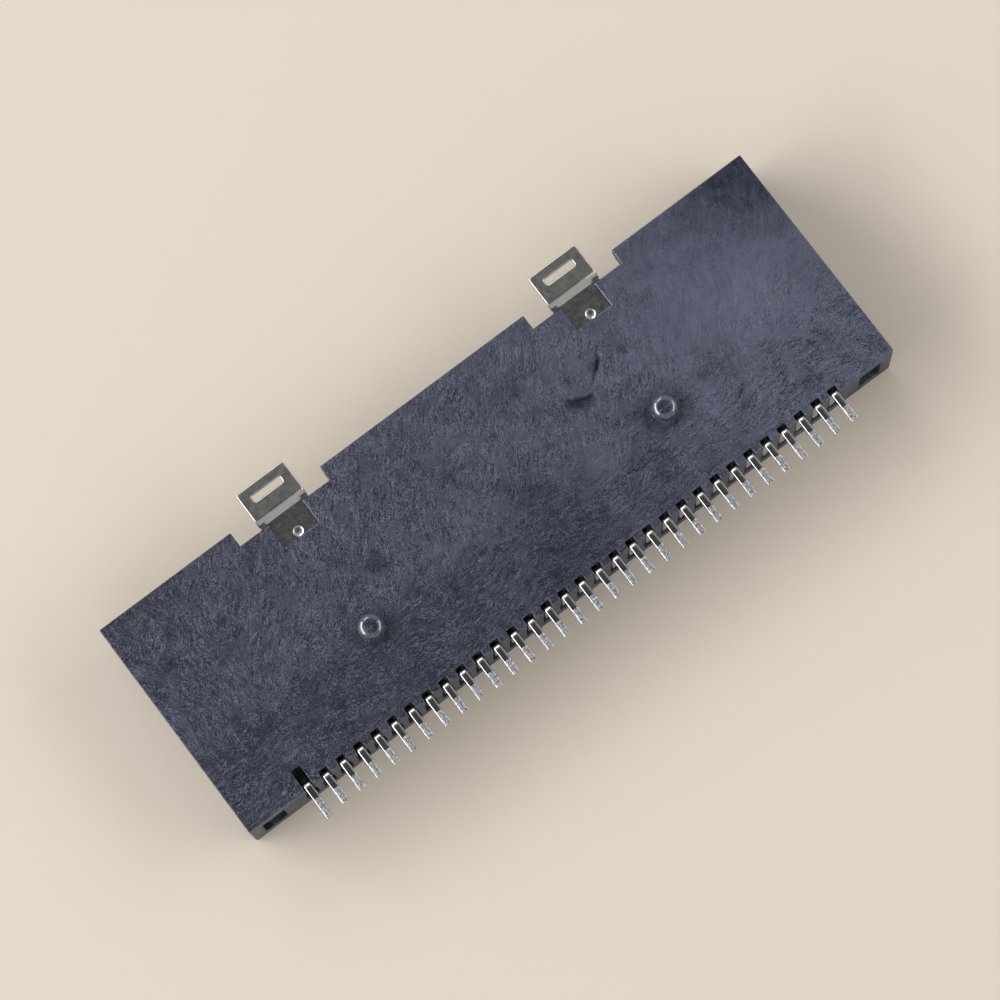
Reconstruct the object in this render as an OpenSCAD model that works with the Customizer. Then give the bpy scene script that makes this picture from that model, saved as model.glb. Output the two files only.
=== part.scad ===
// Card edge connector, soldered flat to a circuit board.
// It lies with its board face up: X runs along the contact row, +Y points to the card mouth,
// and the solder tails leave at -Y. The origin is on the board face, midway between the posts.
// All sizes are in millimetres.

/* [Contact row] */
// Number of contacts in the row
contact_count = 32; // [24:1:40]
// Distance from one contact to the next
contact_pitch = 1.5; // [1.3:0.05:2]
// Distance from the last contact's middle to the side of the contact block
row_margin = 2.35; // [1.2:0.05:4]

/* [Housing] */
// Thickness of the plate that lies on the board
plate_t = 1.4; // [1.2:0.05:2.4]
// Thickness of each end wall
end_wall_t = 1; // [0.8:0.05:2.5]
// Gap between an end wall and the contact block, for the side wall of the card's case
end_gap_w = 1.9; // [1:0.05:4]
// Depth of the contact block, from the rear face forwards
block_d = 4.4; // [3.4:0.1:7]
// Gap between the plate and the tongue, for the lower wall of the card's case
tongue_gap = 1.4; // [0.8:0.05:3]
// Thickness of the tongue
tongue_t = 2.2; // [1.8:0.05:4]
// Length of the tongue in front of the contact block
tongue_len = 7; // [5.5:0.1:12]
// Depth of the open mouth in front of the tongue
mouth_d = 6.6; // [4.5:0.1:12]
// How far the rims stand out past the face of the tongue
rim_drop = 1; // [0.7:0.05:2.5]
// Lead-in chamfer at the mouth and on the tip of the tongue
lead_in = 0.5; // [0.2:0.05:0.55]
// Thickness of the web that closes each end gap at the rear corner
web_t = 0.7; // [0.4:0.05:1.5]
// Depth of that web
web_d = 2; // [1:0.1:4]

/* [Locating posts] */
// Diameter of a post
post_d = 1.95; // [1.2:0.05:3]
// Height of a post above the board face
post_h = 0.95; // [0.6:0.05:2]
// Radius of the rounded rim of a post
post_rim_r = 0.6; // [0.1:0.05:0.7]
// Distance between the two posts
post_spacing = 26; // [16:0.5:32]
// Distance from the rear face to the posts
post_from_rear = 6.5; // [4:0.1:9]

/* [Contacts] */
// Width of the contact strip
contact_w = 0.6; // [0.4:0.02:0.75]
// Thickness of the contact strip
contact_t = 0.25; // [0.15:0.01:0.35]
// Inside radius of the strip's sharp bends
contact_bend_r = 0.15; // [0.05:0.01:0.3]
// Inside radius of the bend between a leg and its solder tail
tail_bend_r = 0.3; // [0.1:0.01:0.5]
// How far a solder tail reaches past the rear face
tail_reach = 2.3; // [1:0.02:4]
// How far the inner face of the leg stands inside the rear face
leg_inset = 0.35; // [0.05:0.01:0.5]
// Reach of the first contact's longer tail
first_tail_reach = 2.5; // [1:0.02:4]
// Inset of the first contact's leg
first_leg_inset = 0.58; // [0.05:0.01:0.7]
// Height of the barbs that bite into the sides of the retention slot
barb_h = 0.06; // [0.02:0.01:0.12]
// Length of one barb
barb_len = 0.7; // [0.3:0.05:1]
// How deep the strip runs inside the face of the tongue
beam_depth = 0.5; // [0.3:0.05:0.9]
// Straight run of the strip in front of the contact block
spring_lead = 0.5; // [0.2:0.05:1]
// Radius of the bend that starts the spring slope
spring_bend_r = 1; // [0.5:0.05:2]
// Radius of the contact bump
bump_r = 0.6; // [0.4:0.05:1]
// How far the bump stands out past the face of the tongue
bump_stand = 0.5; // [0.3:0.05:0.7]
// Angle at which the strip rises again behind the bump
tip_angle = 40; // [25:1:60]
// Length of the flat tip that rests over the ledge
tip_run = 0.55; // [0.4:0.05:1]

/* [Contact openings] */
// Side clearance of the leg in the channel of the rear face
channel_side = 0.07; // [0.03:0.01:0.15]
// Room behind the leg in that channel
channel_gap = 0.21; // [0.1:0.01:0.6]
// Room behind the first contact's leg
first_channel_gap = 1.13; // [0.1:0.01:1.5]
// Side clearance of the insertion pocket round the lower bend
pocket_side = 0.2; // [0.08:0.01:0.3]
// Height of the insertion pocket above the strip's lower run
pocket_above = 2.4; // [0.7:0.05:2.8]
// Depth of the insertion pocket below that run
pocket_below = 0.7; // [0.4:0.05:1]
// Room in front of the lower bend in the insertion pocket
pocket_room = 0.85; // [0.3:0.05:1.2]
// Clearance above and below the strip in the retention slot
slot_clear = 0.03; // [0.01:0.01:0.08]
// Side clearance of the spring in the groove of the tongue
groove_side = 0.12; // [0.08:0.01:0.25]
// Room above the spring in the groove
spring_room = 0.5; // [0.3:0.05:0.8]
// Thickness of the closed lip at the tip of the tongue
lip_t = 0.6; // [0.3:0.05:1]
// Thickness of the ledge under the flat tip
ledge_t = 0.2; // [0.1:0.05:0.4]
// How far the ledge reaches under the flat tip
ledge_hold = 0.3; // [0.1:0.05:0.4]
// Clearance between the flat tip and the ledge
tip_clear = 0.05; // [0.02:0.01:0.15]
// Clearance between the flat tip and the lip
tip_front_gap = 0.3; // [0.1:0.05:0.6]

/* [Hold-down brackets] */
// Distance between the two brackets
bracket_spacing = 26; // [18:0.5:32]
// Thickness of the bracket sheet
bracket_t = 0.3; // [0.2:0.02:0.4]
// Inside radius of the bracket's bends
bracket_bend_r = 0.15; // [0.05:0.01:0.25]
// Width of the solder tab
tab_w = 4.2; // [3.6:0.1:6]
// How far the tab reaches past the front edge
tab_reach = 1.95; // [1.5:0.05:4]
// Radius of the tab's outer corners
tab_corner_r = 0.25; // [0.1:0.05:0.6]
// Length of the slot in the tab
solder_slot_w = 2.5; // [1.2:0.1:3]
// Width of the slot in the tab
solder_slot_d = 0.5; // [0.4:0.05:0.9]
// Metal between the slot and the tab's outer edge
solder_slot_edge = 0.75; // [0.4:0.05:1]
// Radius of the slot's corners
solder_slot_r = 0.15; // [0.05:0.05:0.2]
// Distance from the front edge back to the start of the jog
jog_start = 0.35; // [0:0.05:0.4]
// How far the jog lowers the strip below the tab
jog_drop = 0.4; // [0.35:0.05:0.6]
// Slope of the jog
jog_angle = 38; // [30:1:55]
// Width of the strip that enters the plate
strip_w = 3; // [2:0.1:3.4]
// Length of the strip that is tucked under the plate's skin
strip_tuck = 1.4; // [0.6:0.1:3]
// Clearance all round the strip in its pocket
strip_clear = 0.03; // [0.01:0.01:0.08]
// Radius of the locking dimple at its mouth
dimple_r = 0.44; // [0.3:0.02:0.6]
// Radius of the dimple's flat floor
dimple_floor_r = 0.26; // [0.1:0.02:0.28]
// Depth of the locking dimple
dimple_d = 0.1; // [0.06:0.01:0.2]
// Clearance between the dimple and the end of its window
dimple_gap = 0.02; // [0.01:0.01:0.2]
// Free width on each side of the tab in the front notch
notch_side = 1.85; // [0.5:0.05:3]
// Depth of the front notch
notch_d = 1.2; // [1.1:0.05:2]
// Clearance between the bracket's shoulders and the floor of the notch
shoulder_gap = 0.05; // [0.02:0.01:0.08]
// Length of the open window behind the notch
window_d = 2; // [1.2:0.05:3]

/* [Hidden] */
$fn = 48;
bend_steps = 8;
cut_past = 0.5;
housing_color = "#3e414e";
contact_color = "#c8c7c2";
bracket_color = "#bdbcb6";

row_w = (contact_count - 1) * contact_pitch;
block_w = row_w + 2 * row_margin;
inner_w = block_w + 2 * end_gap_w;
housing_w = inner_w + 2 * end_wall_t;

rear_y = -post_from_rear;
block_y = rear_y + block_d;
tongue_tip_y = block_y + tongue_len;
front_y = tongue_tip_y + mouth_d;

tongue_top_z = -plate_t - tongue_gap;
tongue_face_z = tongue_top_z - tongue_t;
rim_z = tongue_face_z - rim_drop;

// The contact strip, followed along its centre line
strip_bend_r = contact_bend_r + contact_t / 2;
tail_r = tail_bend_r + contact_t / 2;
beam_z = tongue_face_z + beam_depth;
spring_drop = beam_depth + bump_stand - contact_t / 2;
tip_rise = bump_stand + ledge_t + tip_clear;
tip_radii = bump_r + strip_bend_r;
rise_run = (tip_rise - tip_radii * (1 - cos(tip_angle))) / sin(tip_angle);
rise_len = tip_radii * sin(tip_angle) + rise_run * cos(tip_angle);
bump_inset = lip_t + tip_front_gap + tip_run + rise_len;
spring_len = tongue_len - spring_lead - bump_inset;
spring_radii = spring_bend_r + bump_r;
spring_centres = norm([spring_len, spring_radii - spring_drop]);
spring_run = sqrt(pow(spring_centres, 2) - pow(spring_radii, 2));
spring_angle = asin(spring_radii / spring_centres) - atan2(spring_radii - spring_drop, spring_len);

// The openings that take one contact
channel_w = contact_w + 2 * channel_side;
pocket_w = contact_w + 2 * pocket_side;
slot_w = contact_w + 2 * barb_h;
slot_h = contact_t + 2 * slot_clear;
groove_w = contact_w + 2 * groove_side;
groove_top_z = beam_z + contact_t / 2 + spring_room;
groove_end_y = tongue_tip_y - lip_t;
ledge_end_y = groove_end_y - tip_front_gap - ledge_hold;

// The bracket, measured back from the front edge
bracket_r = bracket_bend_r + bracket_t / 2;
jog_run = (jog_drop - 2 * bracket_r * (1 - cos(jog_angle))) / sin(jog_angle);
jog_len = 2 * bracket_r * sin(jog_angle) + jog_run * cos(jog_angle);
window_end = notch_d + window_d;
strip_end = window_end + strip_tuck;
strip_low_z = -jog_drop - bracket_t;
dimple_from_front = window_end - dimple_gap - dimple_r;
notch_w = tab_w + 2 * notch_side;

SIDES = [-1, 1];
SIDE_NAMES = ["left", "right"];

function hold_down_name(k) = str("hold_down_", SIDE_NAMES[k]);
function contact_name(i) = str(i < 9 ? "contact_0" : "contact_", i + 1);
function contact_x(i) = i * contact_pitch - row_w / 2;
function leg_inset_of(i) = i == 0 ? first_leg_inset : leg_inset;
function tail_reach_of(i) = i == 0 ? first_tail_reach : tail_reach;
function channel_d_of(i) = leg_inset_of(i) + (i == 0 ? first_channel_gap : channel_gap);
function pocket_d_of(i) = leg_inset_of(i) + contact_bend_r + pocket_room;

// A pose is [along, up, heading in degrees] on the centre line of a bent strip
function ahead(pose, run) =
    [pose.x + run * cos(pose[2]), pose.y + run * sin(pose[2]), pose[2]];

// The pose after an arc that turns left by a positive angle and right by a negative one
function turned(pose, angle, radius) =
    let (
        swing = sign(angle) * radius,
        heading = pose[2] + angle
    )
    [
        pose.x + swing * (sin(heading) - sin(pose[2])),
        pose.y - swing * (cos(heading) - cos(pose[2])),
        heading
    ];

// All poses along a bend table, whose rows are [straight run, turn, bend radius]
function walk(pose, bends, k = 0) =
    k == len(bends)
        ? [pose]
        : let (
              start = ahead(pose, bends[k][0]),
              angle = bends[k][1],
              radius = bends[k][2]
          )
          concat(
              [pose],
              angle == 0
                  ? []
                  : [for (s = [0 : bend_steps - 1]) turned(start, angle * s / bend_steps, radius)],
              walk(turned(start, angle, radius), bends, k + 1)
          );

function beside(pose, distance) =
    [pose.x - distance * sin(pose[2]), pose.y + distance * cos(pose[2])];

// Side view of a strip of even thickness along those poses
function strip_outline(poses, thickness) =
    concat(
        [for (pose = poses) beside(pose, thickness / 2)],
        [for (k = [len(poses) - 1 : -1 : 0]) beside(poses[k], -thickness / 2)]
    );

// Extrudes a side view, drawn as [forwards, up], to a width centred on X
module across(width) {
    rotate([90, 0, 90])
        linear_extrude(height = width, center = true)
            children();
}

// A box centred on X, between two depths and two heights
module slab(width, y0, y1, z0, z1) {
    translate([-width / 2, y0, z0])
        cube([width, y1 - y0, z1 - z0]);
}

// Places what is drawn backwards from the front edge, as seen from above
module from_front_edge() {
    translate([0, front_y, 0])
        mirror([0, 1, 0])
            children();
}

// Post, revolved from a profile with a rounded rim
module post() {
    post_r = post_d / 2;
    root_z = -plate_t / 2;
    rotate_extrude() {
        translate([0, root_z])
            square([post_r, post_h - post_rim_r - root_z]);
        square([post_r - post_rim_r, post_h]);
        translate([post_r - post_rim_r, post_h - post_rim_r])
            intersection() {
                circle(r = post_rim_r);
                square(post_rim_r);
            }
    }
}

module plate() {
    slab(housing_w, rear_y, front_y, -plate_t, 0);
}

// End wall in plan, with a lead-in at the mouth
module end_wall(side) {
    inner_x = inner_w / 2;
    outer_x = housing_w / 2;
    translate([0, 0, rim_z])
        linear_extrude(height = -rim_z)
            polygon([
                [side * inner_x, rear_y],
                [side * outer_x, rear_y],
                [side * outer_x, front_y],
                [side * (inner_x + lead_in), front_y],
                [side * inner_x, front_y - 2 * lead_in]
            ]);
}

// Contact block and tongue in one section, with lead-ins on the tip
module contact_block() {
    across(block_w)
        polygon([
            [rear_y, -plate_t / 2],
            [rear_y, rim_z],
            [block_y, rim_z],
            [block_y, tongue_face_z],
            [tongue_tip_y - lead_in, tongue_face_z],
            [tongue_tip_y, tongue_face_z + lead_in],
            [tongue_tip_y, tongue_top_z - lead_in],
            [tongue_tip_y - lead_in, tongue_top_z],
            [block_y, tongue_top_z],
            [block_y, -plate_t / 2]
        ]);
}

module corner_webs() {
    slab(inner_w + end_wall_t, rear_y, rear_y + web_d, rim_z, rim_z + web_t);
}

// Room for one contact: channel for the leg, insertion pocket, retention slot and spring groove
module contact_room(i) {
    pocket_y = rear_y + pocket_d_of(i);
    slab(channel_w, rear_y - cut_past, rear_y + channel_d_of(i), beam_z, cut_past);
    slab(pocket_w, rear_y - cut_past, pocket_y, beam_z - pocket_below, beam_z + pocket_above);
    slab(slot_w, rear_y, block_y + spring_lead, beam_z - slot_h / 2, beam_z + slot_h / 2);
    slab(groove_w, block_y, ledge_end_y, tongue_face_z - cut_past, groove_top_z);
    slab(groove_w, block_y, groove_end_y, tongue_face_z + ledge_t, groove_top_z);
}

// Round dimple with sloping sides and a flat floor, placed by the level of its mouth
module dimple(mouth_z, above, grow = 0) {
    translate([0, dimple_from_front, mouth_z])
        rotate_extrude()
            polygon([
                [0, -dimple_d],
                [dimple_floor_r + grow, -dimple_d],
                [dimple_r + grow, 0],
                [dimple_r + grow, above],
                [0, above]
            ]);
}

// Room for one bracket: front notch, open window and the closed slot behind it
module bracket_room() {
    room_w = strip_w + 2 * strip_clear;
    floor_z = strip_low_z - strip_clear;
    from_front_edge() {
        slab(notch_w, -cut_past, notch_d, -plate_t - cut_past, cut_past);
        slab(room_w, 0, window_end, floor_z, cut_past);
        slab(room_w, 0, strip_end + strip_clear, floor_z, strip_clear - jog_drop);
        dimple(floor_z, strip_clear, strip_clear);
    }
}

// Chamfer along the lower front edge of the plate
module mouth_lead_in() {
    across(inner_w)
        polygon([
            [front_y - lead_in, -plate_t],
            [front_y, -plate_t + lead_in],
            [front_y + cut_past, -plate_t + lead_in],
            [front_y + cut_past, -plate_t - cut_past],
            [front_y - lead_in, -plate_t - cut_past]
        ]);
}

module housing() {
    color(housing_color)
        difference() {
            union() {
                plate();
                contact_block();
                corner_webs();
                for (side = SIDES) {
                    end_wall(side);
                    translate([side * post_spacing / 2, 0, 0])
                        post();
                }
            }
            mouth_lead_in();
            for (side = SIDES)
                translate([side * bracket_spacing / 2, 0, 0])
                    bracket_room();
            for (i = [0 : contact_count - 1])
                translate([contact_x(i), 0, 0])
                    contact_room(i);
        }
}

// Bent strip from the tip of the solder tail to the flat tip over the ledge
module contact_strip(i) {
    leg_y = rear_y + leg_inset_of(i) - contact_t / 2;
    tail_y = rear_y - tail_reach_of(i);
    bends = [
        [leg_y - tail_r - tail_y, -90, tail_r],
        [-beam_z - contact_t / 2 - tail_r - strip_bend_r, 90, strip_bend_r],
        [block_y + spring_lead - leg_y - strip_bend_r, -spring_angle, spring_bend_r],
        [spring_run, spring_angle + tip_angle, bump_r],
        [rise_run, -tip_angle, strip_bend_r],
        [tip_run, 0, 0]
    ];
    across(contact_w)
        polygon(strip_outline(walk([tail_y, -contact_t / 2, 0], bends), contact_t));
}

// Two barbs on each edge of the strip, thin at the front so that the strip can be pushed in
module barbs(i) {
    last_y = rear_y + pocket_d_of(i);
    middle_y = (last_y + block_y) / 2;
    half_w = contact_w / 2;
    translate([0, 0, beam_z - contact_t / 2])
        linear_extrude(height = contact_t)
            for (start_y = [middle_y - barb_len, middle_y])
                polygon([
                    [-half_w - barb_h, start_y],
                    [half_w + barb_h, start_y],
                    [half_w, start_y + barb_len],
                    [-half_w, start_y + barb_len]
                ]);
}

module contact(i) {
    color(contact_color)
        translate([contact_x(i), 0, 0]) {
            contact_strip(i);
            barbs(i);
        }
}

// A rectangle with rounded corners, centred on X, that starts at a depth
module rounded_rect(width, y0, depth, radius) {
    inner_x = width / 2 - radius;
    translate([-inner_x, y0])
        square([2 * inner_x, depth]);
    translate([-width / 2, y0 + radius])
        square([width, depth - 2 * radius]);
    for (side = SIDES, y = [y0 + radius, y0 + depth - radius])
        translate([side * inner_x, y])
            circle(r = radius);
}

// Bracket in plan: tab with rounded corners and a slot, square shoulders, then the narrower strip
module bracket_plan() {
    shoulder_y = notch_d - shoulder_gap;
    difference() {
        union() {
            rounded_rect(tab_w, -tab_reach, tab_reach, tab_corner_r);
            translate([-tab_w / 2, -tab_corner_r])
                square([tab_w, tab_corner_r + shoulder_y]);
            translate([-strip_w / 2, 0])
                square([strip_w, strip_end]);
        }
        rounded_rect(solder_slot_w, solder_slot_edge - tab_reach, solder_slot_d, solder_slot_r);
    }
}

// Bracket in side view: flat tab, jog down, flat strip
module bracket_side() {
    bends = [
        [tab_reach + jog_start, -jog_angle, bracket_r],
        [jog_run, jog_angle, bracket_r],
        [strip_end - jog_start - jog_len, 0, 0]
    ];
    across(tab_w)
        polygon(strip_outline(walk([-tab_reach, -bracket_t / 2, 0], bends), bracket_t));
}

module hold_down(side) {
    plan_h = jog_drop + bracket_t + 2 * cut_past;
    color(bracket_color)
        translate([side * bracket_spacing / 2, 0, 0])
            from_front_edge()
                difference() {
                    union() {
                        intersection() {
                            bracket_side();
                            translate([0, 0, strip_low_z - cut_past])
                                linear_extrude(height = plan_h)
                                    bracket_plan();
                        }
                        dimple(strip_low_z, bracket_t / 2);
                    }
                    dimple(-jog_drop, cut_past);
                }
}

housing();
for (k = [0 : 1])
    hold_down(SIDES[k]);
for (i = [0 : contact_count - 1])
    contact(i);
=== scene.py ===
"""Looks of the card edge connector: moulded plastic, plated metal, floor, light and camera."""
import math
from types import SimpleNamespace

import bmesh
import bpy
from mathutils import Matrix, Vector


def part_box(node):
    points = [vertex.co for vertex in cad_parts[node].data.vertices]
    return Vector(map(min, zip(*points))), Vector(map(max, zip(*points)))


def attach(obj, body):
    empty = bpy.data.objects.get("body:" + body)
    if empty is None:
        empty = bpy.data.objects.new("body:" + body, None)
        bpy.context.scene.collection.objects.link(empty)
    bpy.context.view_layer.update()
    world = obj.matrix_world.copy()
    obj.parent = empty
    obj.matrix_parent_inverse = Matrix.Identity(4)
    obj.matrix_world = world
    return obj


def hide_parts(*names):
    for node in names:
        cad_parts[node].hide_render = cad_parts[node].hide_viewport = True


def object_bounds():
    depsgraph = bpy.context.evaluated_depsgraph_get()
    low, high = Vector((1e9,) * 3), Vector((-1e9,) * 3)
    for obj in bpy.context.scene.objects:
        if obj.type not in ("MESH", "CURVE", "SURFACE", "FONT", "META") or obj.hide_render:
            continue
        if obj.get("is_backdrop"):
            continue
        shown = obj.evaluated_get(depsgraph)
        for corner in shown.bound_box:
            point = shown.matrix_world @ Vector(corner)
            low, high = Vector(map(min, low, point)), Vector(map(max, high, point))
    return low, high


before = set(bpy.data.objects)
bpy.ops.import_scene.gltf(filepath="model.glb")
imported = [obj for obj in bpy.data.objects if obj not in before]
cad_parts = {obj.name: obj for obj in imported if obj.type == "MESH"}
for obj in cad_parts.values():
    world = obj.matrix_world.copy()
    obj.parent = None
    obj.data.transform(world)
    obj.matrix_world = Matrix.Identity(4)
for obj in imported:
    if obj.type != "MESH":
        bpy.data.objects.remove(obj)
cad_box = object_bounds()

# Lengths are in millimetres, apart from those of lamps and floor, and this turns them into metres.
# Noise scales are per millimetre, and colours are linear red, green, blue and alpha
MM = 0.001

# The camera, as the turn and shift that take the part into its view
VIEW_TILT = math.radians(-9.22)
VIEW_LEAN = math.radians(4.17)
VIEW_ROLL = math.radians(36.72)
VIEW_SHIFT = Vector((1.306, -1.235, -297.33))
SENSOR = 36.0
LENS = 4.2 * SENSOR
CLIP_START = 10.0

# Lamps: name, angle from +X and elevation in degrees, distance and size in metres, power in watts
LAMPS = [
    ("left_softbox", 153, 30, 0.9, (1.3, 0.6), 4.7),
    ("left_strip", 153, 30, 0.89, (1.25, 0.12), 3.6),
    ("front_strip", 86, 36, 0.9, (0.35, 0.3), 0.9),
    ("right_softbox", -26, 33, 0.9, (0.95, 0.3), 2.5),
]
# The room, and the heights on a unit sphere between which its ceiling gives way to its walls
CEILING_COLOR = (0.05, 0.055, 0.06, 1)
WALL_COLOR = (0.50, 0.50, 0.50, 1)
CEILING_RIM = (0.985, 0.75)
# The floor, reaching this many metres to each side
FLOOR_REACH = 3.0
FLOOR_COLOR = (0.78, 0.69, 0.58, 1)
FLOOR_ROUGHNESS = 0.9

# Edges: which points are one, which faces are flat, what counts as sharp, how far each kind is rounded
WELD = 1e-4 * MM
FLAT_ANGLE = math.radians(0.5)
SHARP_ANGLE = math.radians(35)
HOUSING_EDGE = 0.1
SHORTEST_EDGE = 0.4
CONTACT_EDGE = 0.124
BRACKET_EDGE = 0.11
EDGE_STEPS = 3
EVEN_WEIGHT = 100

# The board face: how straight up its faces look, and how far they may lie from z = 0
BOARD_FACING = 0.999
BOARD_LEVEL = 0.001
# Flow marks sunk into it: points along each one, its width to the left and right, its depth
FLOW_MARKS = [
    (((7.6, 4.9), (8.07, 4.41), (8.45, 4.19), (9.05, 3.93), (9.9, 4.0)), (0.1, 0.7), 0.34),
    (((9.6, 4.1), (10.27, 4.75), (10.89, 5.27), (11.8, 6.15)), (0.12, 0.12), 0.16),
    (((10.5, 4.9), (11.8, 6.1)), (0.22, 0.16), 0.3),
    (((9.9, 3.78), (10.26, 4.0), (10.75, 3.66)), (0.1, 0.1), 0.1),
    (((9.85, 3.4), (10.18, 2.55)), (0.1, 0.1), 0.08),
    (((9.4, 2.2), (10.9, 1.71), (12.01, 1.31)), (0.15, 0.3), 0.07),
    (((13.9, 8.0), (14.9, 7.95), (15.2, 7.3), (14.7, 6.3)), (0.14, 0.14), 0.06),
    (((20.4, 0.5), (21.6, 1.4), (22.6, 1.6)), (0.13, 0.13), 0.04),
]
# Posts in the middle of a shallow swirl, and the swirl's radius, width and depth
POSTS = [(-13.0, 0.0), (13.0, 0.0)]
SWIRL = (1.3, 0.3, 0.02)
# Parts of the board face that are cut fine enough for these marks, and the step of the cuts
MARKED = [((6.6, -2.8), (17.0, 8.1)), ((-15.8, -2.8), (-10.2, 2.8)), ((19.6, -0.2), (23.4, 2.4))]
MARK_STEP = 0.085

# Regions of the plastic, from where each starts to where it is full, with borders that a noise moves
REAR_Y = (1.6, -1.4)
LEFT_END_X = (-18.0, -24.0)
SMOOTH_X = (11.0, 19.0)
SMOOTH_Y = (-1.0, 4.0)
BORDER_SCALE = 0.18
BORDER_DRIFT = 6.0
# The posts by height, and the dent, the deepest flow mark, by middle, reach, rim and depths: painted shade
# darkens its hollow over the first depths and ends over the last
POST_Z = (0.03, 0.1)
DENT = (9.2, 4.2)
DENT_REACH = 4.0
DENT_RIM = (0.0, 0.3)
DENT_Z = (-0.02, -0.28)
DENT_END_Z = (-0.9, -0.6)
# How far a face looks up on the board face, and on the rounded edges around it
FACING_BOARD = (0.6, 0.9)
FACING_EDGE_TOP = (0.985, 0.93)
FACING_EDGE_SIDE = (0.1, 0.4)

# How strong the finer octaves of any streaks are
STREAK_ROUGHNESS = 0.6
# Flow streaks of the plastic: angles from the contact row, then length and width of each kind
FRONT_FLOW = math.radians(54)
REAR_FLOW = math.radians(3)
END_FLOW = math.radians(95)
FINE_STREAK = (0.15, 0.05)
BROAD_STREAK = (1.0, 0.2)
BROAD_SHARE = 0.3
FOLD = (1.1, 0.3)
FLECK = (0.11, 0.055)
LONG_FRONT_STREAK = (5.0, 0.3)
LONG_REAR_STREAK = (3.0, 0.16)
# Scale and reach of the two noises that bend the streaks
SLOW_BEND = (0.13, 2.8)
FINE_BEND = (0.7, 0.45)
# Strength of the streaks: from right to left, on the smooth region, and off and on calm spots
COARSE_X = (6.0, -16.0)
COARSE_GAIN = (0.85, 1.45)
SMOOTH_GAIN = 0.35
CALM_SCALE = 0.9
CALM_GAIN = (1.1, 0.4)
# Noise levels between which calm spots, creases' stretches, flecks and stains set in, and a crease's width
CALM_LEVEL = (0.5, 0.66)
CREASE_SCALE = 0.7
CREASE_LEVEL = (0.36, 0.56)
CREASE_WIDTH = 0.045
FLECK_LEVEL = (0.66, 0.77)
STAIN_SCALE = 0.5
STAIN_LEVEL = (0.6, 0.74)

# Colours of the plastic, and how far each feature moves the shade from the dark to the pale one
PLASTIC_DARK = (0.010, 0.0125, 0.028, 1)
PLASTIC_PALE = (0.170, 0.182, 0.258, 1)
BASE_SHADE = 0.35
GRAIN_SHADE = 2.8
FLECK_SHADE = 0.42
# Painted shade along the creases, whose sinking in the relief is real
CREASE_PAINTED_SHADE = 0.24
# Painted shade in the dent's hollow
DENT_PAINTED_SHADE = 0.5
POST_SHADE = 0.04
STAIN_SHADE = -0.2
LONG_STREAK_SHADE = 0.22
# Clouds on straight and on bent places: scale, detail and shade
STRAIGHT_CLOUD = (0.22, 2.0, 0.3)
BENT_CLOUD = (0.8, 3.0, 0.35)
# Board face only: a slope along x, a band at the rear, and uneven rings of painted shade around the posts
SLOPE_X = (-22.0, 22.0)
SLOPE_SHADE = (-0.08, 0.06)
REAR_BAND_X = (17.0, 9.0)
REAR_BAND_SHADE = -0.13
PAINTED_RING_RADIUS = 2.4
PAINTED_RING_SHADE = -0.24
PAINTED_RING_SCALE = 0.8
PAINTED_RING_LEVEL = (0.3, 0.6)
# Paler and darker patches of the board face: middle, radius, shade; the first two, pale and at the right,
# are a painted sheen
PATCHES = [
    # Painted sheen: two pale patches at the right
    ((20.5, 3.0), 11.0, 0.1),
    ((22.5, 2.6), 7.0, 0.08),
    ((27.2, 11.2), 8.0, -0.34),
    ((-27.0, 11.0), 7.0, -0.12),
    ((1.3, -3.4), 6.0, -0.1),
    ((-24.0, -3.4), 4.0, 0.07),
    ((18.1, 0.1), 2.6, -0.16),
    ((1.6, 1.9), 2.4, -0.14),
    ((4.6, 7.6), 1.8, -0.12),
    ((11.6, 0.9), 2.4, -0.12),
    ((16.5, -2.6), 2.0, 0.1),
]
# Lines of the mould: the axis each one follows, its place on the other axis, its ends, width and strength
MOULD_LINES = [
    ("x", -0.1, (-25.1, 25.4), 0.09, 1.0),
    ("y", 25.9, (-6.3, -0.9), 0.12, 1.0),
    ("y", -25.2, (-2.1, 0.2), 0.09, 2.2),
    ("x", -2.1, (-27.8, -25.2), 0.09, 2.2),
]
LINE_FADE = 0.4
LINE_SCALE = 3.0
LINE_LEVEL = (0.42, 0.62)
LINE_SHADE = 0.18
POST_LINE_SHADE = 0.5
# Relief of the plastic: its depth, and the share of lines and creases in it
PLASTIC_RELIEF = 0.05
LINE_RELIEF = 0.25
CREASE_RELIEF = 0.6
# Sheen of the plastic: by grain, and on the glossy edges and posts
GRAIN_RANGE = (-0.3, 0.3)
PLASTIC_ROUGHNESS = (0.38, 0.58)
GLOSS_ROUGHNESS = 0.16
MATTE_SPECULAR = 0.3
GLOSS_SPECULAR = 1.0
PLASTIC_IOR = 1.5
POST_IOR = 1.75

# Noise levels that count as low and high on the metals
METAL_LEVEL = (0.3, 0.7)
# Contacts: bright plate, and tin of this length on the first tail and on the others, with an uneven start
PLATE_COLORS = ((0.47, 0.46, 0.44, 1), (0.66, 0.65, 0.63, 1))
TIN_COLORS = ((0.22, 0.23, 0.25, 1), (0.93, 0.93, 0.93, 1))
FIRST_TIN = 1.62
TIN = 1.17
TIN_WOBBLE_SCALE = 0.5
TIN_WOBBLE = 0.18
TIN_BLEND = 0.025
FIRST_CLEARANCE = (0.3, 0.1)
TIN_MOTTLE = (0.2, 0.08)
ROLLED_STREAK = (1.6, 0.035)
PLATE_ROUGHNESS = (0.12, 0.2)
TIN_ROUGHNESS = (0.35, 0.55)
ROLLED_RELIEF = 0.25
CONTACT_RELIEF = 0.03
CONTACT_RELIEF_STRENGTH = 0.7
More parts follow.
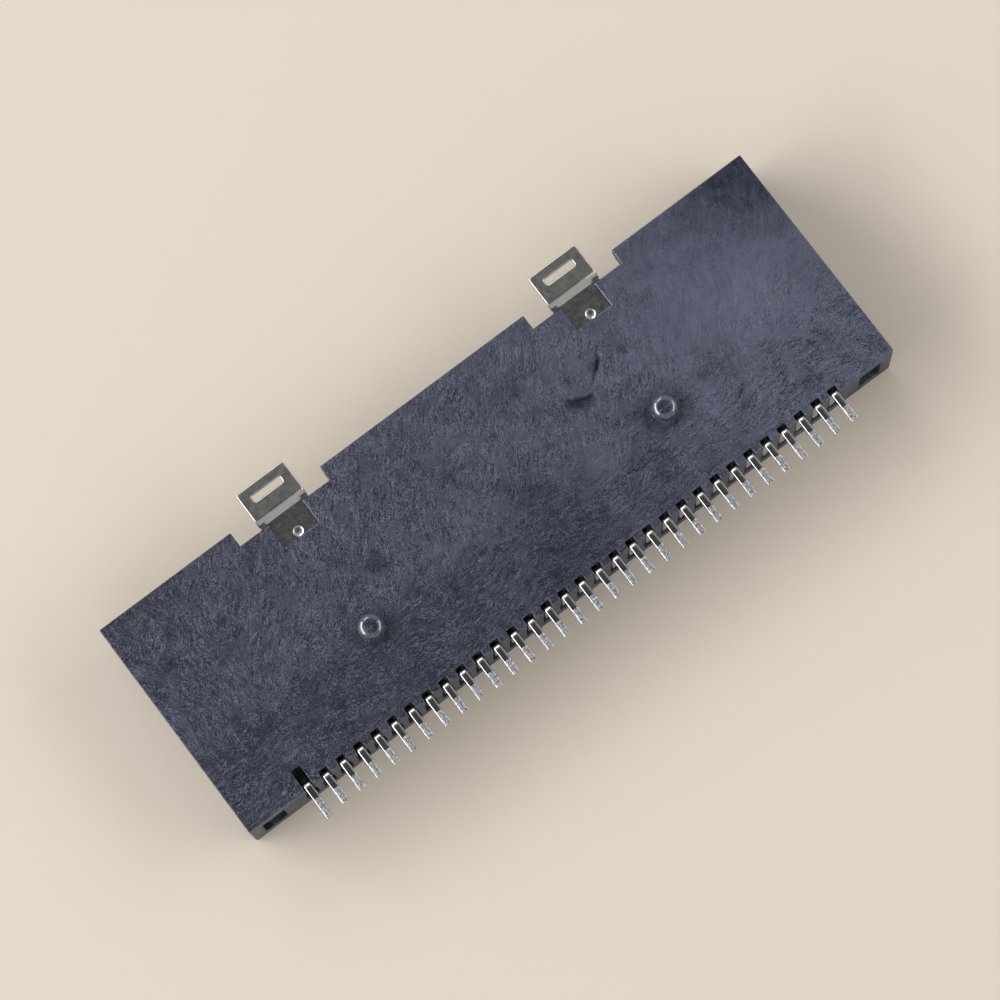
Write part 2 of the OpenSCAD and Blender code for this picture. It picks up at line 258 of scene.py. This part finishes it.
# Brackets: plate with clouds, of this scale, detail and roughness, with specks, and with a rougher tab that
# starts this far behind the front
BRACKET_COLORS = ((0.52, 0.51, 0.48, 1), (0.70, 0.68, 0.64, 1))
BRACKET_CLOUD = (2.2, 5.0, 0.7)
SPECK_SCALE = 5.0
SPECK_LEVEL = (0.70, 0.78)
SPECK_ROUGHNESS = 0.15
SPECK_RELIEF = 0.12
TAB_START = (2.6, 2.2)
TAB_ROUGHNESS = 0.07
BRACKET_ROUGHNESS = (0.2, 0.28)
BRACKET_RELIEF = 0.015
BRACKET_RELIEF_STRENGTH = 0.5


class Graph:
    """The node tree of a material or the world, with short calls for the nodes used here."""

    def __init__(self, owner):
        owner.use_nodes = True
        self.tree = owner.node_tree
        self.tree.nodes.clear()

    def feed(self, socket, value):
        if isinstance(value, bpy.types.NodeSocket):
            self.tree.links.new(value, socket)
        else:
            socket.default_value = value

    def node(self, kind, inputs=None, **settings):
        made = self.tree.nodes.new(kind)
        for name, value in settings.items():
            setattr(made, name, value)
        for key, value in (inputs or {}).items():
            self.feed(made.inputs[key], value)
        return made

    def math(self, operation, a, b=0.0):
        return self.node("ShaderNodeMath", {0: a, 1: b}, operation=operation).outputs[0]

    def add(self, *values):
        total = values[0]
        for value in values[1:]:
            total = self.math("ADD", total, value)
        return total

    def minus(self, a, b):
        return self.math("SUBTRACT", a, b)

    def scaled(self, value, *factors):
        for factor in factors:
            value = self.math("MULTIPLY", value, factor)
        return value

    def vector(self, operation, a, b):
        return self.node("ShaderNodeVectorMath", {0: a, 1: b}, operation=operation).outputs[0]

    def split(self, vector):
        return self.node("ShaderNodeSeparateXYZ", {0: vector}).outputs

    def remap(self, value, low, high, to_low=0.0, to_high=1.0):
        inputs = {"Value": value, "From Min": low, "From Max": high, "To Min": to_low, "To Max": to_high}
        return self.node("ShaderNodeMapRange", inputs, interpolation_type="SMOOTHSTEP").outputs[0]

    def blend(self, factor, a, b):
        return self.node("ShaderNodeMix", {0: factor, 2: a, 3: b}, data_type="FLOAT").outputs[0]

    def tint(self, factor, a, b):
        inputs = {0: factor, 6: a, 7: b}
        return self.node("ShaderNodeMix", inputs, data_type="RGBA").outputs[2]

    def place(self):
        """Places on the part, in millimetres."""
        where = self.node("ShaderNodeTexCoord").outputs["Object"]
        scale = self.node("ShaderNodeVectorMath", {0: where, "Scale": 1 / MM}, operation="SCALE")
        return scale.outputs[0]

    def noise(self, where, scale, detail, roughness=0.5, out="Fac", dimensions="3D"):
        inputs = {"Vector": where, "Scale": scale, "Detail": detail, "Roughness": roughness}
        return self.node("ShaderNodeTexNoise", inputs, noise_dimensions=dimensions).outputs[out]

    def centred(self, noise):
        return self.minus(noise, 0.5)

    def bent(self, where, scale, reach):
        """Places moved about by a slow noise, by up to about half of reach."""
        noise = self.noise(where, scale, 1.0, out="Color", dimensions="2D")
        push = self.vector("SUBTRACT", noise, (0.5, 0.5, 0.5))
        return self.vector("ADD", where, self.vector("MULTIPLY", push, (reach, reach, reach)))

    def streaks(self, where, angle, size, detail=3.0):
        """Noise drawn out along a direction in the plane of the board face, to a length and width."""
        length, width = size
        inputs = {"Vector": where, "Rotation": (0, 0, -angle), "Scale": (1, 1, 1)}
        turned = self.node("ShaderNodeMapping", inputs, vector_type="POINT").outputs[0]
        scaled = self.vector("MULTIPLY", turned, (1 / length, 1 / width, 1 / width))
        return self.noise(scaled, 1.0, detail, STREAK_ROUGHNESS)

    def spot(self, where, middle, radius):
        """One at a place, falling off to nought at a radius."""
        inputs = {0: where, 1: (middle[0], middle[1], 0.0)}
        off = self.node("ShaderNodeVectorMath", inputs, operation="DISTANCE").outputs["Value"]
        return self.remap(off, radius, 0.0)

    def line(self, across, along, at, ends, width):
        """One along a straight line, falling off over its width and at its ends."""
        start, end = ends
        off = self.math("ABSOLUTE", self.minus(across, at))
        body = self.remap(off, width, width / 4)
        after_start = self.remap(along, start, start + LINE_FADE)
        before_end = self.remap(along, end, end - LINE_FADE)
        return self.scaled(body, self.scaled(after_start, before_end))

    def relief(self, height, strength, depth):
        """Normals of a height that stands for a depth in millimetres."""
        inputs = {"Height": height, "Strength": strength, "Distance": depth * MM}
        return self.node("ShaderNodeBump", inputs).outputs[0]

    def surface(self, inputs):
        """Ends a material's tree."""
        shader = self.node("ShaderNodeBsdfPrincipled", inputs)
        self.node("ShaderNodeOutputMaterial", {"Surface": shader.outputs[0]})


def new_material(name):
    material = bpy.data.materials.new(name)
    return material, Graph(material)


def plastic_zones(g):
    """Places on the housing, straight and bent, and a mask for each of its regions."""
    where = g.place()
    x, y, z = g.split(where)
    facing = g.split(g.node("ShaderNodeNewGeometry").outputs["Normal"])[2]
    drift = g.scaled(g.centred(g.noise(where, BORDER_SCALE, 1.0)), BORDER_DRIFT)
    moved_x, moved_y = g.add(x, drift), g.add(y, drift)
    return SimpleNamespace(
        where=where, x=x, y=y, z=z,
        bent=g.bent(g.bent(where, *SLOW_BEND), *FINE_BEND),
        board=g.remap(facing, *FACING_BOARD),
        edge=g.scaled(g.remap(facing, *FACING_EDGE_TOP), g.remap(facing, *FACING_EDGE_SIDE)),
        post=g.remap(z, *POST_Z),
        dented=g.remap(g.spot(where, DENT, DENT_REACH), *DENT_RIM),
        rear=g.remap(moved_y, *REAR_Y),
        left_end=g.remap(moved_x, *LEFT_END_X),
        smooth=g.scaled(g.remap(moved_x, *SMOOTH_X), g.remap(moved_y, *SMOOTH_Y)),
    )


def plastic_coarseness(g, zones):
    """How strongly the streaks show."""
    calm = g.remap(g.noise(zones.bent, CALM_SCALE, 1.0), *CALM_LEVEL)
    by_region = g.scaled(g.remap(zones.x, *COARSE_X, *COARSE_GAIN), g.blend(zones.smooth, 1.0, SMOOTH_GAIN))
    return g.scaled(by_region, g.blend(calm, *CALM_GAIN))


def plastic_grain(g, zones):
    """Fine and broad streaks along the flow, on both sides of nought."""
    def flow(angle):
        fine = g.centred(g.streaks(zones.bent, angle, FINE_STREAK, 2.0))
        broad = g.centred(g.streaks(zones.bent, angle, BROAD_STREAK, 1.0))
        return g.add(fine, g.scaled(broad, BROAD_SHARE))

    front = g.blend(zones.left_end, flow(FRONT_FLOW), flow(END_FLOW))
    return g.blend(zones.rear, front, flow(REAR_FLOW))


def plastic_creases(g, zones):
    """Thin lines between the folds of the flow, in stretches."""
    def folds(angle):
        return g.math("ABSOLUTE", g.centred(g.streaks(zones.bent, angle, FOLD, 1.0)))

    fold = g.blend(zones.rear, folds(FRONT_FLOW), folds(REAR_FLOW))
    stretches = g.remap(g.noise(zones.where, CREASE_SCALE, 1.0), *CREASE_LEVEL)
    return g.scaled(g.remap(fold, CREASE_WIDTH, 0.0), stretches)


def plastic_tone(g, zones):
    """Slow changes of shade: clouds, stains and long streaks, and what the board face has besides: a slope,
    a rear band, painted shade around the posts, and patches, two of them a painted sheen.
    """
    def cloud(where, scale, detail, shade):
        return g.scaled(g.centred(g.noise(where, scale, detail)), shade)

    stains = g.remap(g.noise(zones.bent, STAIN_SCALE, 2.0), *STAIN_LEVEL)
    stains = g.scaled(stains, g.blend(zones.smooth, STAIN_SHADE, 0.0))
    clouds = g.add(cloud(zones.where, *STRAIGHT_CLOUD), cloud(zones.bent, *BENT_CLOUD), stains)
    long_streaks = g.blend(zones.rear, g.streaks(zones.bent, FRONT_FLOW, LONG_FRONT_STREAK, 1.0),
                           g.streaks(zones.bent, REAR_FLOW, LONG_REAR_STREAK, 1.0))

    slope = g.remap(zones.x, *SLOPE_X, *SLOPE_SHADE)
    rear_band = g.scaled(zones.rear, g.remap(zones.x, *REAR_BAND_X), REAR_BAND_SHADE)
    uneven = g.remap(g.noise(zones.where, PAINTED_RING_SCALE, 2.0), *PAINTED_RING_LEVEL)
    # Painted shade in uneven rings around the posts
    painted_shade_rings = [g.scaled(g.spot(zones.where, post, PAINTED_RING_RADIUS), uneven, PAINTED_RING_SHADE) for post in POSTS]
    patches = [g.scaled(g.spot(zones.where, middle, radius), shade) for middle, radius, shade in PATCHES]
    on_board = g.scaled(g.add(rear_band, slope, *painted_shade_rings, *patches), zones.board)
    return g.add(clouds, g.scaled(g.centred(long_streaks), LONG_STREAK_SHADE), on_board)


def plastic_lines(g, zones):
    """Broken lines that the mould leaves on the board face."""
    lines = []
    for axis, at, ends, width, strength in MOULD_LINES:
        across, along = (zones.y, zones.x) if axis == "x" else (zones.x, zones.y)
        lines.append(g.scaled(g.line(across, along, at, ends, width), strength))
    broken = g.remap(g.noise(zones.where, LINE_SCALE, 1.0), *LINE_LEVEL)
    return g.scaled(g.add(*lines), broken, zones.board)


def housing_plastic():
    """Dark blue plastic that shows how it flowed into the mould, with painted shade in its dent, along its
    creases and around its posts, and a painted sheen at the right.
    """
    material, g = new_material("housing_plastic")
    zones = plastic_zones(g)
    coarse = plastic_coarseness(g, zones)
    grain = g.scaled(plastic_grain(g, zones), coarse)
    crease = g.scaled(plastic_creases(g, zones), coarse)
    flecks = g.remap(g.streaks(zones.bent, FRONT_FLOW, FLECK, 1.0), *FLECK_LEVEL)
    lines = plastic_lines(g, zones)
    # Painted shade in the dent's hollow, darker the deeper the board face is sunk there
    dent_painted_shade = g.scaled(g.remap(zones.z, *DENT_Z), g.remap(zones.z, *DENT_END_Z), zones.dented)

    pale = g.add(g.scaled(grain, GRAIN_SHADE), plastic_tone(g, zones), g.scaled(flecks, coarse, FLECK_SHADE),
                 g.scaled(lines, g.blend(zones.post, LINE_SHADE, POST_LINE_SHADE)), BASE_SHADE)
    # Darker: painted shade in the dent's hollow and along the creases, and the posts a touch
    dark = g.add(g.scaled(dent_painted_shade, DENT_PAINTED_SHADE), g.scaled(crease, CREASE_PAINTED_SHADE),
                 g.scaled(zones.post, POST_SHADE))
    height = g.minus(g.add(grain, g.scaled(lines, LINE_RELIEF)), g.scaled(crease, CREASE_RELIEF))
    gloss = g.scaled(g.math("MAXIMUM", zones.edge, zones.post), g.minus(1.0, zones.dented))
    matte_roughness = g.remap(grain, *GRAIN_RANGE, *PLASTIC_ROUGHNESS)
    g.surface({
        "Base Color": g.tint(g.minus(pale, dark), PLASTIC_DARK, PLASTIC_PALE),
        "Roughness": g.blend(gloss, matte_roughness, GLOSS_ROUGHNESS),
        "IOR": g.blend(zones.post, PLASTIC_IOR, POST_IOR),
        "Specular IOR Level": g.blend(gloss, MATTE_SPECULAR, GLOSS_SPECULAR),
        "Normal": g.relief(height, g.minus(zones.board, zones.post), PLASTIC_RELIEF),
    })
    return material


def contact_metal():
    """Bright plate, with matte tin on the outer part of each solder tail."""
    material, g = new_material("contact_metal")
    where = g.place()
    x, y, _ = g.split(where)
    first_low, first_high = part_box("contact_01")
    other_low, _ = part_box("contact_02")
    first = g.remap(x, *(first_high.x / MM + clearance for clearance in FIRST_CLEARANCE))
    wobble = g.scaled(g.centred(g.noise(where, TIN_WOBBLE_SCALE, 1.0)), TIN_WOBBLE)
    start = g.add(g.blend(first, other_low.y / MM + TIN, first_low.y / MM + FIRST_TIN), wobble)
    tin = g.remap(g.minus(y, start), TIN_BLEND, -TIN_BLEND)

    along = math.pi / 2
    mottle = g.streaks(where, along, TIN_MOTTLE)
    rolled = g.streaks(where, along, ROLLED_STREAK)
    plate_roughness = g.remap(rolled, *METAL_LEVEL, *PLATE_ROUGHNESS)
    tin_roughness = g.remap(mottle, *METAL_LEVEL, *TIN_ROUGHNESS)
    height = g.blend(tin, g.scaled(rolled, ROLLED_RELIEF), mottle)
    tin_color = g.tint(g.remap(mottle, *METAL_LEVEL), *TIN_COLORS)
    g.surface({
        "Base Color": g.tint(tin, g.tint(rolled, *PLATE_COLORS), tin_color),
        "Metallic": 1.0,
        "Roughness": g.blend(tin, plate_roughness, tin_roughness),
        "Normal": g.relief(height, CONTACT_RELIEF_STRENGTH, CONTACT_RELIEF),
    })
    return material


def bracket_metal():
    """Plate with a clouded sheen, rougher on the tabs."""
    material, g = new_material("bracket_metal")
    where = g.place()
    y = g.split(where)[1]
    cloud = g.noise(where, *BRACKET_CLOUD)
    specks = g.remap(g.noise(where, SPECK_SCALE, 2.0), *SPECK_LEVEL)
    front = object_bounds()[1][1] / MM
    tab = g.remap(y, *(front - start for start in TAB_START))
    roughness = g.add(g.remap(cloud, *METAL_LEVEL, *BRACKET_ROUGHNESS), g.scaled(tab, TAB_ROUGHNESS),
                      g.scaled(specks, SPECK_ROUGHNESS))
    height = g.add(cloud, g.scaled(specks, SPECK_RELIEF))
    g.surface({
        "Base Color": g.tint(cloud, *BRACKET_COLORS),
        "Metallic": 1.0,
        "Roughness": roughness,
        "Normal": g.relief(height, BRACKET_RELIEF_STRENGTH, BRACKET_RELIEF),
    })
    return material


def clean_copy(name):
    """A node's mesh as a bmesh, welded and with its flat faces whole."""
    bm = bmesh.new()
    bm.from_mesh(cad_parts[name].data)
    bmesh.ops.remove_doubles(bm, verts=bm.verts, dist=WELD)
    bmesh.ops.dissolve_limit(bm, angle_limit=FLAT_ANGLE, verts=bm.verts, edges=bm.edges)
    return bm


def sharp_edges(bm):
    """The edges that stand out."""
    return [e for e in bm.edges if e.is_convex and e.calc_face_angle() > SHARP_ANGLE]


def bevel(bm, edges, radius):
    bmesh.ops.bevel(bm, geom=edges, offset=radius * MM, offset_type="OFFSET", segments=EDGE_STEPS,
                    profile=0.5, affect="EDGES", clamp_overlap=False)


def dress(name, bm, material):
    """Turns a bmesh into the piece that stands for a node."""
    mesh = bpy.data.meshes.new(name + "_look")
    bm.to_mesh(mesh)
    bm.free()
    for polygon in mesh.polygons:
        polygon.use_smooth = True
    mesh.set_sharp_from_angle(angle=SHARP_ANGLE)
    mesh.materials.append(material)
    piece = bpy.data.objects.new(name + "_look", mesh)
    bpy.context.collection.objects.link(piece)
    normals = piece.modifiers.new("even_normals", "WEIGHTED_NORMAL")
    normals.weight = EVEN_WEIGHT
    normals.keep_sharp = True
    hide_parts(name)
    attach(piece, "root")


def to_polyline(spot, points):
    """How far a spot lies from a row of points, how far along the row it is, from 0 to 1, and whether
    it is on the row's left."""
    best = (math.inf, 0.0, False)
    whole = sum((b - a).length for a, b in zip(points, points[1:]))
    passed = 0.0
    for a, b in zip(points, points[1:]):
        run = b - a
        share = min(1.0, max(0.0, (spot - a).dot(run) / run.length_squared))
        off = (spot - a - run * share).length
        best = min(best, (off, (passed + share * run.length) / whole, run.cross(spot - a) > 0))
        passed += run.length
    return best


def mark_depth(spot):
    """How far the flow marks and swirls sink the board face at a spot."""
    depth = 0.0
    for points, (left, right), deepest in FLOW_MARKS:
        off, share, on_left = to_polyline(spot, [Vector(p) for p in points])
        width = left if on_left else right
        full_midway = 4 * share * (1 - share)
        depth = max(depth, deepest * full_midway * math.exp(-(off / width) ** 2))
    radius, width, deepest = SWIRL
    for post in POSTS:
        off = (spot - Vector(post)).length - radius
        depth = max(depth, deepest * math.exp(-(off / width) ** 2))
    return depth


def carve(bm):
    """Cuts a fine grid into the marked parts of the board face and sinks the marks into it."""
    def board_faces(low, high):
        found = []
        for face in bm.faces:
            middle = face.calc_center_median() / MM
            inside = low[0] < middle.x < high[0] and low[1] < middle.y < high[1]
            if inside and face.normal.z > BOARD_FACING and abs(middle.z) < BOARD_LEVEL:
                found.append(face)
        return found

    def cut(geom, axis, at):
        normal = Vector((0, 0, 0))
        normal[axis] = 1
        made = bmesh.ops.bisect_plane(bm, geom=geom, dist=WELD, plane_co=normal * at * MM, plane_no=normal)
        return made["geom"]

    def with_parts(faces):
        edges = {e for f in faces for e in f.edges}
        verts = {v for f in faces for v in f.verts}
        return list(faces) + list(edges) + list(verts)

    everywhere = (-math.inf, -math.inf), (math.inf, math.inf)
    bmesh.ops.triangulate(bm, faces=board_faces(*everywhere))
    for low, high in MARKED:
        geom = with_parts(board_faces(*everywhere))
        for axis in (0, 1):
            for at in (low[axis], high[axis]):
                geom = cut(geom, axis, at)
        geom = with_parts(board_faces(low, high))
        for axis in (0, 1):
            steps = round((high[axis] - low[axis]) / MARK_STEP)
            for k in range(1, steps):
                geom = cut(geom, axis, low[axis] + (high[axis] - low[axis]) * k / steps)
        for vert in {v for f in board_faces(low, high) for v in f.verts}:
            vert.co.z -= mark_depth(vert.co.xy / MM) * MM


def make_housing():
    bm = clean_copy("housing")
    bevel(bm, [e for e in sharp_edges(bm) if e.calc_length() > SHORTEST_EDGE * MM], HOUSING_EDGE)
    carve(bm)
    dress("housing", bm, housing_plastic())


def strip_edges(bm, name):
    """The edges along both sides of a contact strip, without those of its barbs and cut ends."""
    low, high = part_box(name)
    middle = (low.x + high.x) / 2
    half_width = max(abs(v.co.x - middle) for v in bm.verts if v.co.y < low.y + WELD)

    def on_side(vert):
        return abs(abs(vert.co.x - middle) - half_width) < WELD

    def at_end(vert):
        return min(vert.co.y - low.y, high.y - vert.co.y) < WELD

    def runs_along(edge):
        a, b = edge.verts
        same_side = on_side(a) and on_side(b) and abs(a.co.x - b.co.x) < WELD
        return same_side and not (at_end(a) and at_end(b))

    return [e for e in sharp_edges(bm) if runs_along(e)]


def tab_edges(bm, name):
    """The edges of a bracket's tab and shoulders, without those of the strip tucked into the plate."""
    low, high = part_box(name)
    middle = (low.x + high.x) / 2
    half_width = (high.x - low.x) / 2
    shoulder_y = min(v.co.y for v in bm.verts if abs(v.co.x - middle) > half_width - WELD)
    return [e for e in sharp_edges(bm) if max(v.co.y for v in e.verts) > shoulder_y + WELD
            or max(abs(v.co.x - middle) for v in e.verts) > half_width - WELD]


def make_metal():
    brackets = bracket_metal()
    contacts = contact_metal()
    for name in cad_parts:
        if name.startswith("hold_down"):
            bm = clean_copy(name)
            bevel(bm, tab_edges(bm, name), BRACKET_EDGE)
            dress(name, bm, brackets)
        elif name.startswith("contact"):
            bm = clean_copy(name)
            bevel(bm, strip_edges(bm, name), CONTACT_EDGE)
            dress(name, bm, contacts)


def make_floor():
    """A plain pale square under the part."""
    low_z = cad_box[0][2]
    corners = [(side_x * FLOOR_REACH, side_y * FLOOR_REACH, low_z)
               for side_x, side_y in ((-1, -1), (1, -1), (1, 1), (-1, 1))]
    mesh = bpy.data.meshes.new("floor")
    mesh.from_pydata(corners, [], [(0, 1, 2, 3)])
    material, g = new_material("floor")
    g.surface({"Base Color": FLOOR_COLOR, "Roughness": FLOOR_ROUGHNESS})
    mesh.materials.append(material)
    floor = bpy.data.objects.new("floor", mesh)
    bpy.context.collection.objects.link(floor)
    floor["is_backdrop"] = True


def make_world():
    """An even room with a dark ceiling."""
    world = bpy.data.worlds.new("studio")
    bpy.context.scene.world = world
    g = Graph(world)
    up = g.split(g.node("ShaderNodeTexCoord").outputs["Generated"])[2]
    color = g.tint(g.remap(up, *CEILING_RIM), CEILING_COLOR, WALL_COLOR)
    background = g.node("ShaderNodeBackground", {"Color": color, "Strength": 1.0})
    g.node("ShaderNodeOutputWorld", {"Surface": background.outputs[0]})


def softbox(name, way, elevation, distance, size, power):
    """An area light that looks at the part from an angle and an elevation in degrees."""
    light = bpy.data.lights.new(name, "AREA")
    light.shape = "RECTANGLE"
    light.size, light.size_y = size
    light.energy = power
    box = bpy.data.objects.new(name, light)
    turn, rise = math.radians(way), math.radians(elevation)
    level = math.cos(rise)
    spot = Vector((math.cos(turn) * level, math.sin(turn) * level, math.sin(rise))) * distance
    box.location = spot
    box.rotation_euler = spot.to_track_quat("Z", "Y").to_euler()
    box.visible_camera = False
    bpy.context.collection.objects.link(box)


def make_camera():
    data = bpy.data.cameras.new("camera")
    data.sensor_width = SENSOR
    data.lens = LENS
    data.clip_start = CLIP_START * MM
    camera = bpy.data.objects.new("camera", data)
    turn = Matrix.Rotation(VIEW_ROLL, 4, "Z") @ Matrix.Rotation(VIEW_LEAN, 4, "Y")
    turn = turn @ Matrix.Rotation(VIEW_TILT, 4, "X")
    camera.matrix_world = (Matrix.Translation(VIEW_SHIFT * MM) @ turn).inverted()
    bpy.context.collection.objects.link(camera)
    bpy.context.scene.camera = camera


make_housing()
make_metal()
make_floor()
make_world()
for lamp in LAMPS:
    softbox(*lamp)
make_camera()
bpy.context.scene.view_settings.view_transform = "Standard"
